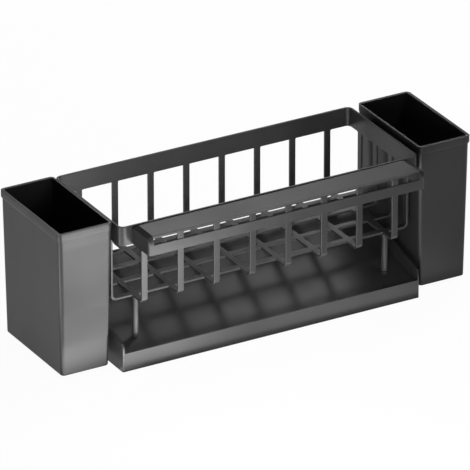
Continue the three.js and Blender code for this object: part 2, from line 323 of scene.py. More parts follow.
    def spin(self, angle: float, axis: Point, about: Point, steps: int) -> Workpiece:
        """Sweep the selected edges round an axis by the right-hand rule, the last ones selected."""
        bpy.ops.mesh.spin(steps=steps, angle=-angle, axis=axis, center=about)
        return self

    def slice(self, place: Point, normal: Point, drop: bool = False) -> Workpiece:
        """Cut the selection with a plane.

        Args:
            place: A place on the plane.
            normal: The plane's normal.
            drop: Whether what lies on the normal's side goes, and the cut is closed.

        Returns:
            The workpiece itself.
        """
        bpy.ops.mesh.bisect(
            plane_co=place, plane_no=normal, clear_outer=drop, use_fill=drop, threshold=1e-6
        )
        return self

    def bevel(self, radius: float, steps: int, corners: bool = False) -> Workpiece:
        """Round the selected edges, or with corners the selected points of a flat face."""
        bpy.ops.mesh.bevel(
            offset=radius,
            offset_type="OFFSET",
            segments=steps,
            profile=0.5,
            affect="VERTICES" if corners else "EDGES",
            clamp_overlap=True,
        )
        return self

    def inset(self, width: float) -> Workpiece:
        """Inset the selected faces and keep the inner ones selected."""
        bpy.ops.mesh.inset(thickness=width, use_even_offset=True)
        return self

    def delete(self) -> Workpiece:
        """Delete the selected faces."""
        bpy.ops.mesh.delete(type="FACE")
        return self

    def weld(self, within: float) -> Workpiece:
        """Merge points that lie within a distance of each other."""
        bpy.ops.mesh.select_all(action="SELECT")
        bpy.ops.mesh.remove_doubles(threshold=within)
        return self

    def outward(self) -> Workpiece:
        """Turn every face outwards."""
        bpy.ops.mesh.select_all(action="SELECT")
        bpy.ops.mesh.normals_make_consistent(inside=False)
        return self

    def close(self) -> bpy.types.Object:
        """Leave edit mode.

        Returns:
            The finished object.
        """
        bpy.ops.object.mode_set(mode="OBJECT")
        return self.thing


def modify(thing: bpy.types.Object, kind: str, **settings: object) -> None:
    """Add a modifier and apply it.

    Args:
        thing: The object.
        kind: The modifier's type.
        **settings: Its settings.
    """
    hold(thing)
    modifier = thing.modifiers.new(kind.lower(), kind)
    for key, value in settings.items():
        setattr(modifier, key, value)
    bpy.ops.object.modifier_apply(modifier=modifier.name)


def thicken(thing: bpy.types.Object, thickness: float, careful: bool = True) -> None:
    """Give a sheet its thickness, inwards from the face that was drawn.

    Args:
        thing: The sheet.
        thickness: Its thickness.
        careful: Whether the thickness is kept even where several bends meet.
    """
    modify(
        thing,
        "SOLIDIFY",
        thickness=thickness,
        offset=-1,
        use_even_offset=True,
        use_quality_normals=careful,
    )


def weighted_bevel(
    thing: bpy.types.Object, rounds: list[tuple[EdgeTest, float]], steps: int
) -> None:
    """Round edges by different radii in one pass.

    Args:
        thing: The object.
        rounds: Pairs of a test on an edge's middle and direction, and its radius.
        steps: Faces across each rounding.
    """
    widest = max(radius for _, radius in rounds)
    mesh = thing.data
    weights = mesh.attributes.new("bevel_weight_edge", "FLOAT", "EDGE")
    for edge in mesh.edges:
        start, end = (mesh.vertices[i].co for i in edge.vertices)
        middle, way = (start + end) / 2, (end - start).normalized()
        for test, radius in rounds:
            if test(middle, way):
                weights.data[edge.index].value = radius / widest
                break
    modify(thing, "BEVEL", width=widest, segments=steps, limit_method="WEIGHT")
    left = mesh.attributes.get("bevel_weight_edge")
    if left is not None:
        mesh.attributes.remove(left)


def carve(thing: bpy.types.Object, tool: bpy.types.Object) -> None:
    """Cut a tool's shape out of an object and throw the tool away."""
    modify(thing, "BOOLEAN", operation="DIFFERENCE", solver="EXACT", object=tool)
    bpy.data.objects.remove(tool, do_unlink=True)


def round_over(
    thing: bpy.types.Object,
    radius: float,
    steps: int,
    sharper: float,
    crease: float = CREASE,
) -> None:
    """Break every sharp edge of a finished form and shade it smooth.

    Args:
        thing: The object.
        radius: Width of the broken edge.
        steps: Faces across it.
        sharper: Edges that turn more than this many degrees are broken.
        crease: Folds that turn more than this many degrees still look crisp.
    """
    modify(
        thing,
        "BEVEL",
        width=radius,
        segments=steps,
        limit_method="ANGLE",
        angle_limit=math.radians(sharper),
    )
    smooth(thing, crease)


def smooth(thing: bpy.types.Object, crease: float = CREASE) -> None:
    """Shade smooth up to an angle, with the large faces kept flat.

    Args:
        thing: The object.
        crease: Folds that turn more than this many degrees stay crisp.
    """
    hold(thing)
    bpy.ops.object.shade_smooth_by_angle(angle=math.radians(crease))
    modify(thing, "WEIGHTED_NORMAL", weight=90, keep_sharp=True)


def mark_edge_highlights_and_wear(thing: bpy.types.Object) -> None:
    """Mark the crowns of a piece's rounded edges, where the colour gets a painted highlight that is
    patchy like wear.

    Args:
        thing: The finished piece.
    """
    mesh = thing.data
    marks = mesh.attributes.new(EDGE_HIGHLIGHT_AND_WEAR, "FLOAT", "POINT")
    shape = bmesh.new()
    shape.from_mesh(mesh)
    narrow = {
        face.index: face.calc_area() < STRIP_WIDTH * max(edge.calc_length() for edge in face.edges)
        for face in shape.faces
    }
    for vert in shape.verts:
        turns = [edge.calc_face_angle_signed(0.0) for edge in vert.link_edges]
        if sum(turns) > CROWN_TURN and all(narrow[f.index] for f in vert.link_faces):
            marks.data[vert.index].value = 1.0
    shape.free()


def mirrored(thing: bpy.types.Object, name: str) -> bpy.types.Object:
    """Copy a closed piece to the other end of the organizer.

    Args:
        thing: The piece to copy.
        name: The copy's name.

    Returns:
        The copy, with a mesh of its own.
    """
    hold(thing)
    bpy.ops.object.duplicate(linked=False)
    copy = bpy.context.object
    copy.name = copy.data.name = name
    piece = Workpiece.reopened(copy).all().resize((-1, 1, 1), (0, BASKET_MIDDLE_Y, 0))
    bpy.ops.mesh.flip_normals()
    piece.close()
    smooth(copy)
    return copy


class Graph:
    """A material's node graph, with short ways to add nodes."""

    # Blue of a tint against its red and green.
    COOLNESS = 1.02

    def __init__(self, name: str) -> None:
        """Start a material.

        Args:
            name: Its name.
        """
        self.material = bpy.data.materials.new(name)
        self.material.use_nodes = True
        self.tree = self.material.node_tree
        self.shader = self.tree.nodes["Principled BSDF"]
        self.place = self.tree.nodes.new("ShaderNodeTexCoord").outputs["Object"]

    def add(self, kind: str, **settings: object) -> bpy.types.Node:
        """Add a node.

        Args:
            kind: The node's type.
            **settings: Its properties.

        Returns:
            The node.
        """
        node = self.tree.nodes.new(kind)
        for key, value in settings.items():
            setattr(node, key, value)
        return node

    def join(self, start: bpy.types.NodeSocket, end: bpy.types.NodeSocket) -> None:
        """Link two sockets."""
        self.tree.links.new(start, end)

    def noise(
        self, scale: float, detail: float, rough: float = 0.5, stretch: Point | None = None
    ) -> bpy.types.NodeSocket:
        """Add noise on the piece's own coordinates.

        Args:
            scale: Features per metre.
            detail: Octaves.
            rough: How strong the fine octaves are.
            stretch: Scale along each axis, less than 1 to draw the noise out.

        Returns:
            The noise, 0 to 1.
        """
        place = self.place
        if stretch is not None:
            mapping = self.add("ShaderNodeMapping")
            mapping.inputs["Scale"].default_value = stretch
            self.join(place, mapping.inputs["Vector"])
            place = mapping.outputs["Vector"]
        node = self.add("ShaderNodeTexNoise")
        node.inputs["Scale"].default_value = scale
        node.inputs["Detail"].default_value = detail
        node.inputs["Roughness"].default_value = rough
        self.join(place, node.inputs["Vector"])
        return node.outputs["Fac"]

    def ranged(
        self,
        value: bpy.types.NodeSocket,
        to_low: float,
        to_high: float,
        low: float = NOISE_LOW,
        high: float = NOISE_HIGH,
    ) -> bpy.types.NodeSocket:
        """Map a value from one range to another, clamped.

        Args:
            value: The value, as a rule a noise.
            to_low: What the start of its range becomes.
            to_high: What the end of its range becomes.
            low: Start of its range.
            high: End of its range.

        Returns:
            The mapped value.
        """
        node = self.add("ShaderNodeMapRange")
        for key, number in zip(
            ("From Min", "From Max", "To Min", "To Max"), (low, high, to_low, to_high)
        ):
            node.inputs[key].default_value = number
        self.join(value, node.inputs["Value"])
        return node.outputs["Result"]

    def combined(
        self, first: bpy.types.NodeSocket, second: bpy.types.NodeSocket, how: str = "ADD"
    ) -> bpy.types.NodeSocket:
        """Combine two values.

        Args:
            first: The first value.
            second: The second value.
            how: The operation, a sum by default.

        Returns:
            The result.
        """
        node = self.add("ShaderNodeMath", operation=how)
        self.join(first, node.inputs[0])
        self.join(second, node.inputs[1])
        return node.outputs["Value"]

    def tint(self, value: bpy.types.NodeSocket, dark: float, light: float) -> bpy.types.NodeSocket:
        """Turn a 0 to 1 value into a grey between two levels.

        Args:
            value: The value.
            dark: Grey at 0.
            light: Grey at 1.

        Returns:
            The colour.
        """
        node = self.add("ShaderNodeValToRGB")
        for end, grey in zip(node.color_ramp.elements, (dark, light)):
            end.color = (grey, grey, grey * self.COOLNESS, 1)
        self.join(value, node.inputs["Fac"])
        return node.outputs["Color"]

    def blend(
        self, share: bpy.types.NodeSocket, colour: bpy.types.NodeSocket, grey: float
    ) -> bpy.types.NodeSocket:
        """Blend a colour towards a grey.

        Args:
            share: How much of the grey shows.
            colour: The colour under it.
            grey: The grey's level.

        Returns:
            The blended colour.
        """
        node = self.add("ShaderNodeMix", data_type="RGBA")
        sockets = {socket.identifier: socket for socket in node.inputs}
        sockets["B_Color"].default_value = (grey, grey, grey, 1)
        self.join(share, sockets["Factor_Float"])
        self.join(colour, sockets["A_Color"])
        return next(end for end in node.outputs if end.identifier == "Result_Color")

    def bump(self, height: bpy.types.NodeSocket, depth: float) -> None:
        """Let a height pattern dent the surface.

        Args:
            height: The pattern, 0 to 1.
            depth: Its depth in metres.
        """
        node = self.add("ShaderNodeBump")
        node.inputs["Strength"].default_value = 1
        node.inputs["Distance"].default_value = depth
        self.join(height, node.inputs["Height"])
        self.join(node.outputs["Normal"], self.shader.inputs["Normal"])


@dataclass(frozen=True)
class Finish:
    """A black finish with grain, slow changes in shade and sheen, and edge crowns painted lighter: a
    painted highlight, patchy like wear.

    Grain, blotch, smear and the patches of the painted edge highlight are the sizes of its patterns,
    in features per metre.
    """

    name: str
    slot: Slot
    greys: tuple[float, float]
    roughness: tuple[float, float]
    specular: float
    grain: float
    grain_depth: float
    blotch: float
    # How much lighter the edge crowns are painted at most: a painted highlight, patchy like wear.
    edge_highlight_and_wear_amount: float = 0.0
    metallic: float = 0.0
    blotch_share: float = 0.7
    flicker: float = 0.02
    smear: float = 26
    smear_stretch: Point = (1, 1, 0.25)
    # The painted edge highlight: patches per metre, least share in a patch, start on the crown mark,
    # and its grey.
    rub: float = 420
    edge_highlight_least: float = 0.4
    edge_highlight_start: float = 0.2
    edge_highlight_grey: float = 0.16

    def _with_edge_highlight_and_wear(self, graph: Graph, colour: bpy.types.NodeSocket) -> bpy.types.NodeSocket:
        """Paint the marked edge crowns lighter, a painted highlight that is patchy like wear, more
        in some places than in others.

        Args:
            graph: The material's graph.
            colour: The colour before the painted edge highlight.

        Returns:
            The colour with the painted edge highlight.
        """
        mark = graph.add("ShaderNodeAttribute", attribute_name=EDGE_HIGHLIGHT_AND_WEAR)
        edge = graph.ranged(mark.outputs["Fac"], 0, self.edge_highlight_and_wear_amount, low=self.edge_highlight_start, high=1)
        patchy = graph.ranged(graph.noise(self.rub, 3), self.edge_highlight_least, 1)
        return graph.blend(graph.combined(edge, patchy, "MULTIPLY"), colour, self.edge_highlight_grey)

    def _mixed(self) -> bpy.types.Material:
        """Mix the material.

        Returns:
            The material.
        """
        graph = Graph(self.name)
        slow = graph.noise(self.blotch, 3, 0.55)
        fine = graph.noise(self.grain, 2, 0.6)
        shade = graph.combined(
            graph.ranged(slow, 0, self.blotch_share), graph.ranged(fine, 0, 1 - self.blotch_share)
        )
        colour = graph.tint(shade, *self.greys)
        # Painted edge highlight: the edge crowns get a lighter grey, patchy like wear.
        if self.edge_highlight_and_wear_amount:
            colour = self._with_edge_highlight_and_wear(graph, colour)
        smear = graph.noise(self.smear, 4, stretch=self.smear_stretch)
        gloss = graph.combined(
            graph.ranged(smear, *self.roughness), graph.ranged(fine, -self.flicker, self.flicker)
        )
        graph.join(colour, graph.shader.inputs["Base Color"])
        graph.join(gloss, graph.shader.inputs["Roughness"])
        graph.shader.inputs["Metallic"].default_value = self.metallic
        graph.shader.inputs["Specular IOR Level"].default_value = self.specular
        graph.bump(fine, self.grain_depth)
        return graph.material

    def material(self) -> bpy.types.Material:
        """The finish's material, mixed when it is first asked for."""
        return bpy.data.materials.get(self.name) or self._mixed()


COATED_STEEL = Finish(
    name="satin_black_powder_coat",
    slot=Slot.STEEL,
    greys=(0.012, 0.021),
    roughness=(0.28, 0.36),
    specular=0.24,
    grain=1500,
    grain_depth=0.000012,
    blotch=14,
    edge_highlight_and_wear_amount=0.25,
)
RAIL_STEEL = replace(COATED_STEEL, name="rail_black_powder_coat", blotch=12, edge_highlight_and_wear_amount=0.5)
TRAY_PLASTIC = Finish(
    name="gloss_black_tray",
    slot=Slot.TRAY,
    greys=(0.012, 0.021),
    roughness=(0.29, 0.38),
    specular=0.24,
    grain=900,
    grain_depth=0.000006,
    blotch=10,
    edge_highlight_and_wear_amount=0.4,
)
BOX_PLASTIC = Finish(
    name="satin_black_box",
    slot=Slot.BOX,
    greys=(0.011, 0.018),
    roughness=(0.28, 0.36),
    specular=0.21,
    grain=2200,
    grain_depth=0.000008,
    blotch=9,
    edge_highlight_and_wear_amount=0.4,
)
TIP_RUBBER = Finish(
    name="matt_black_rubber",
    slot=Slot.RUBBER,
    greys=(0.012, 0.02),
    roughness=(0.75, 0.85),
    specular=0.3,
    grain=1800,
    grain_depth=0.00003,
    blotch=60,
)
FIXING_STEEL = Finish(
    name="black_oxide_fixing",
    slot=Slot.FIXING,
    greys=(0.03, 0.05),
    roughness=(0.3, 0.4),
    specular=0.5,
    grain=1600,
    grain_depth=0.000012,
    blotch=40,
    edge_highlight_and_wear_amount=0.6,
    metallic=0.2,
)


def settle(thing: bpy.types.Object, body: Body, finish: Finish, *nodes: str) -> None:
    """Dress a piece, put it on its body and let it stand for its nodes.

    Args:
        thing: The finished piece.
        body: What it rides on.
        finish: Its finish.
        *nodes: The nodes it stands for.
    """
    # Marks the edge crowns whose colour gets the painted highlight.
    mark_edge_highlights_and_wear(thing)
    thing.data.materials.clear()
    thing.data.materials.append(finish.material())
    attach(thing, body.value)
    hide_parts(*nodes)
    log.info("%s on %s, %d faces", thing.name, body.value, len(thing.data.polygons))


@dataclass
class SlottedBasket:
    """One punched and bent sheet: a grate whose strips bend up into bars that meet a band."""

    length: float = 0.300
    depth: float = 0.120
    top: float = 0.1375
    band: float = 0.018
    corner: float = 0.006
    sheet: float = 0.002
    grate_top: float = 0.062
    bend: float = 0.005
    bar: float = 0.006
    cross_inset: float = 0.024
    cross_count: int = 8
    long_inset: float = 0.01995
    long_count: int = 4
    punch: float = 0.001
    edge: float = 0.00045
    starter: float = 0.001
    merge: float = 5e-5
    middle: float = BASKET_MIDDLE_Y
    bend_steps: int = 6
    corner_steps: int = 7

    @property
    def cross_places(self) -> list[float]:
        """Places of the cross strips along X."""
        span = self.length - 2 * self.cross_inset
        return [(i / (self.cross_count - 1) - 0.5) * span for i in range(self.cross_count)]

    @property
    def long_places(self) -> list[float]:
        """Places of the long strips along Y."""
        span = self.depth - 2 * self.long_inset
        return [
            self.middle + (i / (self.long_count - 1) - 0.5) * span for i in range(self.long_count)
        ]

    def _on_bar(self, value: float, places: list[float]) -> bool:
        """Whether a coordinate lies on one of the bars."""
        return any(abs(value - at) < self.bar / 2 for at in places)

    def _at_edge(self, value: float, places: list[float]) -> bool:
        """Whether a coordinate lies on the edge of one of the bars."""
        return any(abs(abs(value - at) - self.bar / 2) < 2 * HAIR for at in places)

    def _grate(self) -> Workpiece:
        """Punch the flat grate out of a sheet, on its lower face.

        Returns:
            The workpiece.
        """
        low = self.grate_top - self.sheet
        piece = Workpiece.sheet(
            "slotted_basket",
            self.length - 2 * self.bend,
            self.depth - 2 * self.bend,
            (0, self.middle, low),
        )
        for at in self.cross_places:
            for side in (-1, 1):
                piece.all().slice((at + side * self.bar / 2, 0, 0), (1, 0, 0))
        for at in self.long_places:
            for side in (-1, 1):
                piece.all().slice((0, at + side * self.bar / 2, 0), (0, 1, 0))
        piece.faces(
            lambda place, _: not self._on_bar(place.x, self.cross_places)
            and not self._on_bar(place.y, self.long_places)
        ).delete()
        return piece

    def _bend_up(self, piece: Workpiece, axis: int, sign: int) -> None:
        """Bend the strips at one side of the grate up into that wall's bars.

        Args:
            piece: The basket so far.
            axis: 0 for an end wall, 1 for a long wall.
            sign: Which of the two.
        """
        half = (self.length, self.depth)[axis] / 2 - self.bend
        centre = (0, self.middle)[axis]
        low = self.grate_top - self.sheet
        rim = centre + sign * half
        about = [0.0, self.middle, low + self.bend]
        about[axis] = rim
        turn = ((0, -1, 0), (1, 0, 0))[axis]
        piece.edges(
            lambda place, _: abs(place[axis] - rim) < HAIR and abs(place.z - low) < HAIR
        ).spin(sign * math.pi / 2, turn, tuple(about), self.bend_steps)
        piece.extrude((0, 0, self.top - self.band - low - self.bend))

    def _stops(self, places: list[float], middle: float, half: float) -> list[float]:
        """Places along a wall where the band gets a seam: the bars' edges and the corner's start.

        Args:
            places: Where the bars are.
            middle: The wall's middle.
            half: Half the wall's length.

        Returns:
            The places from the wall's middle, in order.
        """
        edges = [at + side * self.bar / 2 - middle for at in places for side in (-1, 1)]
        return sorted(edges + [half - self.corner])

    def _band(self, piece: Workpiece) -> None:
        """Lay the band round the top, corners and all, from one upright edge.

        Args:
            piece: The basket so far.
        """
        half_x, half_y = self.length / 2, self.depth / 2
        start = (self.corner - half_x, self.middle - half_y, self.top - self.band / 2)
        bpy.ops.mesh.select_all(action="DESELECT")
        bpy.ops.mesh.primitive_plane_add(size=1, location=start)
        piece.turn(math.pi / 2, "X", start)
        piece.resize((self.starter, 1, self.band), start)
        piece.edges(
            lambda place, way: abs(place.y - start[1]) < HAIR
            and abs(place.z - start[2]) < HAIR
            and place.x > start[0]
            and abs(way.z) > ALONG
        )
        along_x = self._stops(self.cross_places, 0, half_x)
        along_y = self._stops(self.long_places, self.middle, half_y)
        at = start[0] + self.starter / 2
        for way, stops, corner in (
            ((1, 0), along_x, (1, -1)),
            ((0, 1), along_y, (1, 1)),
            ((-1, 0), along_x, (-1, 1)),
            ((0, -1), along_y, (-1, -1)),
        ):
            for stop in stops:
                piece.extrude((way[0] * (stop - at), way[1] * (stop - at), 0))
                at = stop
            pivot = (
                corner[0] * (half_x - self.corner),
                self.middle + corner[1] * (half_y - self.corner),
                self.top,
            )
            piece.spin(math.pi / 2, (0, 0, 1), pivot, self.corner_steps)
            at = self.corner - (half_y if way[0] else half_x)

    def _window_corner(self, middle: Vector, way: Vector) -> bool:
        """Whether an edge is the inner corner of a punched window.

        Args:
            middle: The edge's middle.
            way: Its direction.

        Returns:
            True where a bar meets a strip or the band.
        """
        if abs(way.z) > ALONG:
            return (
                abs(middle.z - self.grate_top + self.sheet / 2) < self.sheet / 4
                and self._at_edge(middle.x, self.cross_places)
                and self._at_edge(middle.y, self.long_places)
            )
        if abs(middle.z - self.top + self.band) > 2 * HAIR:
            return False
        if abs(way.y) > ALONG:
            return self._at_edge(middle.x, self.cross_places)
        return abs(way.x) > ALONG and self._at_edge(middle.y, self.long_places)

    def _bent(self) -> bpy.types.Object:
        """Punch and bend the whole basket.

        Returns:
            The basket.
        """
        piece = self._grate()
        for axis in (0, 1):
            for sign in (-1, 1):
                self._bend_up(piece, axis, sign)
        self._band(piece)
        # The bars' upper ends are welded to the band's lower edge, which has a seam beside each bar.
        piece.weld(self.merge)
        piece.outward()
        basket = piece.close()
        thicken(basket, self.sheet)
        weighted_bevel(basket, [(self._window_corner, self.punch)], 3)
        round_over(basket, self.edge, 3, 50)
        return basket

    def build(self) -> None:
        """Make the basket, which stands for its grate and all four walls."""
        walls = [f"basket_{part}" for part in ("base", "front", "back", "left", "right")]
        settle(self._bent(), Body.BASKET, COATED_STEEL, *walls)


@dataclass
class TowelRail:
    """A pressed hood screwed to the front of the band, with a slot for the cloth along its nose."""

    basket: SlottedBasket
    inset: float = 0.0119
    reach: float = 0.02999
    drop: float = 0.0002
    height: float = 0.017
    sheet: float = 0.0015
    end_round: float = 0.0013
    shoulder_run: float = 0.0055
    shoulder_drop: float = 0.0016
    nose: float = 0.006
    heel: float = 0.002
    flange: float = 0.012
    bridge: float = 0.0051
    setback: float = 0.0027
    slot: float = 0.0076
    gap: float = 0.0003
    screw_inset: float = 0.050
    screw_drop: float = 0.0075
    head: float = 0.007
    head_height: float = 0.002
    head_round: float = 0.00124
    head_edge: float = 0.00012
    socket_wall: float = 0.00042
    socket_depth: float = 0.0011
    shank: float = 0.0036
    shank_length: float = 0.0057
    edge: float = 0.0004

    def _hood(self) -> bpy.types.Object:
        """Press the hood.

        Returns:
            The hood.
        """
        half = self.basket.length / 2 - self.inset
        wall = self.basket.middle - self.basket.depth / 2
        front, back = wall - self.reach, wall - self.gap
        top = self.basket.top - self.drop
        bottom, shoulder = top - self.height, top - self.shoulder_drop
        piece = Workpiece.block("towel_rail_hood", (-half, front, bottom), (half, back, top))
        piece.faces(lambda _, out: out.z < -ALONG).delete()
        for sign in (-1, 1):
            piece.all().slice((sign * (half - self.shoulder_run), 0, 0), (1, 0, 0))
        # The top slopes down to a shoulder at each end.
        piece.points(lambda p: abs(p.x) > half - HAIR and p.z > top - HAIR)
        piece.move((0, 0, -self.shoulder_drop))
        # The back flange lies against the band and ends above its lower edge.
        piece.faces(lambda _, out: out.y > ALONG).slice((0, 0, top - self.flange), (0, 0, 1))
        piece.faces(lambda m, out: out.y > ALONG and m.z < top - self.flange).delete()
        hood = piece.close()
        weighted_bevel(
            hood,
            [
                (
                    lambda m, way: abs(way.x) > ALONG and m.y < front + HAIR and m.z > shoulder,
                    self.nose,
                ),
                (
                    lambda m, way: abs(way.x) > ALONG and m.y > back - HAIR and m.z > shoulder,
                    self.heel,
                ),
                (lambda m, way: abs(way.z) > ALONG and m.y < front + HAIR, self.end_round),
            ],
            8,
        )
        # The cloth slot takes the nose away, but for a bridge at each end.
        piece = Workpiece.reopened(hood)
        reach = half - self.bridge
        for x in (-reach, reach):
            piece.all().slice((x, 0, 0), (1, 0, 0))
        piece.all().slice((0, 0, top - self.slot), (0, 0, 1))
        piece.all().slice((0, front + self.setback, 0), (0, 1, 0))
        piece.faces(
            lambda m, _: abs(m.x) < reach and m.z > top - self.slot and m.y < front + self.setback
        ).delete()
        piece.outward()
        piece.close()
        thicken(hood, self.sheet)
        round_over(hood, self.edge, 6, 40, crease=14)
        return hood

    def _screw(self) -> bpy.types.Object:
        """Turn one low pan-head screw with a round socket, at the left.

        Returns:
            The screw.
        """
        x = self.screw_inset - self.basket.length / 2
        z = self.basket.top - self.screw_drop
        seat = self.basket.middle - self.basket.depth / 2 + self.basket.sheet
        piece = Workpiece.rod(
            "rail_screw_pan_left", self.head / 2, (x, seat, z), self.head_height, along_y=True
        )
        crown = seat + self.head_height
        piece.edges(lambda m, _: m.y > crown - HAIR).bevel(self.head_round, 5)
        piece.faces(lambda m, out: m.y > crown - HAIR and out.y > ALONG)
        piece.inset(self.socket_wall).extrude((0, -self.socket_depth, 0))
        piece.faces(lambda m, out: m.y < seat + HAIR and out.y < -ALONG)
        piece.inset((self.head - self.shank) / 2).extrude((0, -self.shank_length, 0))
        screw = piece.close()
        round_over(screw, self.head_edge, 2, 50)
        return screw

    def build(self) -> None:
        """Make the hood and its two screws."""
        settle(self._hood(), Body.BASKET, RAIL_STEEL, "towel_rail")
        left = self._screw()
        right = mirrored(left, "rail_screw_pan_right")
        settle(left, Body.BASKET, FIXING_STEEL, "rail_screw_left")
        settle(right, Body.BASKET, FIXING_STEEL, "rail_screw_right")


@dataclass
class DripTray:
    """One moulding: a floor that falls to a low front lip, side walls and skirts to the counter."""

    basket: SlottedBasket
    overhang: float = 0.0035
    skin: float = 0.002
    lip_rise: float = 0.0023
    floor_front: float = 0.0151
    slope: float = 0.284
    side_rise: float = 0.0106
    back_top: float = 0.0512
    nose: float = 0.007
    corner: float = 0.0012
    fillet: float = 0.0014
    lip_fillet: float = 0.0012
    edge: float = 0.0004
    merge: float = 2e-6
    clear: float = 0.01

    @property
    def front(self) -> float:
        """The skirt's front face along Y."""
        return self.basket.middle - self.basket.depth / 2 - self.overhang

    @property
    def back(self) -> float:
        """The back wall's outer face along Y."""
        return self.basket.middle + self.basket.depth / 2

    def floor(self, y: float) -> float:
        """Height of the floor's upper face at a depth."""
        return self.floor_front + self.slope * (y - self.front)

    def _cutter(self, above: bool) -> bpy.types.Object:
        """Make the block whose sloped face is one side of the floor.

        Args:
            above: Whether it clears the space over the floor, or the one under it.

        Returns:
            The cutter.
        """
        half = self.basket.length / 2 - self.skin
        front, back = self.front + self.skin, self.back - self.skin
        far = 2 * self.back_top if above else -self.back_top
        offset = 0.0 if above else -self.skin
        low, high = min(far, 0.0), max(far, 0.0)
        piece = Workpiece.block("tray_cutter", (-half, front, low), (half, back, high))
        for y in (front, back):
            piece.points(lambda p: abs(p.z) < HAIR and abs(p.y - y) < HAIR)
            piece.move((0, 0, self.floor(y) + offset))
        cutter = piece.close()

        def on_floor(place: Vector) -> bool:
            """Whether a place lies on the cutter's sloped face."""
            return abs(place.z - self.floor(place.y) - offset) < HAIR

        def at_lip(place: Vector, way: Vector) -> bool:
            """Whether an edge runs along the foot of the front lip."""
            return on_floor(place) and abs(way.x) > ALONG and place.y < front + HAIR

        side = self.fillet if above else self.skin / 2
        weighted_bevel(
            cutter,
            [
                (at_lip, self.lip_fillet),
                (lambda m, _: on_floor(m), side),
                (lambda _, way: abs(way.z) > ALONG, side),
            ],
            5,
        )
        return cutter

    def _nose_edge(self, middle: Vector, way: Vector) -> bool:
        """Whether an edge is the top front one of the walls' noses."""
        return abs(way.x) > ALONG and middle.y < self.front + HAIR and middle.z > HAIR

    def _upright_corner(self, middle: Vector, way: Vector) -> bool:
        """Whether an edge is one of the moulding's four upright corners."""
        at_end = abs(middle.x) > self.basket.length / 2 - HAIR
        at_row = middle.y < self.front + HAIR or middle.y > self.back - HAIR
        return abs(way.z) > ALONG and at_end and at_row

    def _moulding(self) -> bpy.types.Object:
        """Mould the tray.

        Returns:
            The tray.
        """
        half = self.basket.length / 2
        nose_top = self.floor_front + self.side_rise
        level_from = self.front + (self.back_top - nose_top) / self.slope
        piece = Workpiece.block(
            "drip_tray_moulding", (-half, self.front, 0), (half, self.back, self.back_top)
        )
        # The side walls' tops are level at the back and fall with the floor to their noses.
        piece.all().slice((0, level_from, 0), (0, 1, 0))
        piece.points(lambda p: p.y < self.front + HAIR and p.z > self.back_top - HAIR)
        piece.move((0, 0, nose_top - self.back_top))
        tray = piece.close()
        weighted_bevel(
            tray, [(self._nose_edge, self.nose), (self._upright_corner, self.corner)], 8
        )
        carve(tray, self._cutter(above=True))
        inner = half - self.skin
        lip = self.floor_front + self.lip_rise
        mouth = Workpiece.block(
            "tray_mouth",
            (-inner, self.front - self.clear, lip),
            (inner, self.front + 2 * self.skin, 2 * self.back_top),
        ).close()
        carve(tray, mouth)
        carve(tray, self._cutter(above=False))
        Workpiece.reopened(tray).weld(self.merge).close()
        round_over(tray, self.edge, 3, 30)
        return tray

    def build(self) -> None:
        """Make the tray."""
        settle(self._moulding(), Body.TRAY, TRAY_PLASTIC, "drip_tray")


@dataclass
class Posts:
    """The four posts under the grate and their rubber tips, cut to the floor's slope."""

    basket: SlottedBasket
    tray: DripTray
    diameter: float = 0.0056
    inset: float = 0.0175
    tip: float = 0.002
    joint: float = 0.0002
    lift: float = 0.0002
    rod_round: float = 0.0004
    tip_round: float = 0.0003

    def _left(self, row: Row) -> tuple[bpy.types.Object, bpy.types.Object]:
        """Turn the left post of a row, and cut its tip to the floor's slope.

        Args:
            row: The row.

        Returns:
            The post and its tip.
        """
        radius = self.diameter / 2
        x = self.basket.cross_places[0]
        y = self.basket.middle + row.value * (self.basket.depth / 2 - self.inset)
        foot = self.tray.floor(y + radius) + self.tip
        under = self.basket.grate_top - self.basket.sheet
        post = Workpiece.rod(f"post_{row.word}_left_rod", radius, (x, y, foot), under - foot)
        post.edges(lambda m, _: m.z < foot + HAIR).bevel(self.rod_round, 3)
        rod = post.close()
        smooth(rod)
        low = self.tray.floor(y - self.diameter) - self.tip
        top = foot - self.joint
        tip = Workpiece.rod(f"post_tip_{row.word}_left_cap", radius, (x, y, low), top - low)
        way = Vector((0, self.tray.slope, -1)).normalized()
        tip.all().slice((x, y, self.tray.floor(y) + self.lift), tuple(way), drop=True)
        tip.edges(lambda m, _: m.z > top - HAIR).bevel(self.tip_round, 2)
        cap = tip.close()
        smooth(cap)
        return rod, cap

    def build(self) -> None:
        """Make all four posts and their tips."""
        for row in Row:
            rod, cap = self._left(row)
            right_rod = mirrored(rod, f"post_{row.word}_right_rod")
            right_cap = mirrored(cap, f"post_tip_{row.word}_right_cap")
            settle(rod, Body.BASKET, COATED_STEEL, f"post_{row.word}_left")
            settle(right_rod, Body.BASKET, COATED_STEEL, f"post_{row.word}_right")
            settle(cap, Body.BASKET, TIP_RUBBER, f"post_tip_{row.word}_left")
            settle(right_cap, Body.BASKET, TIP_RUBBER, f"post_tip_{row.word}_right")


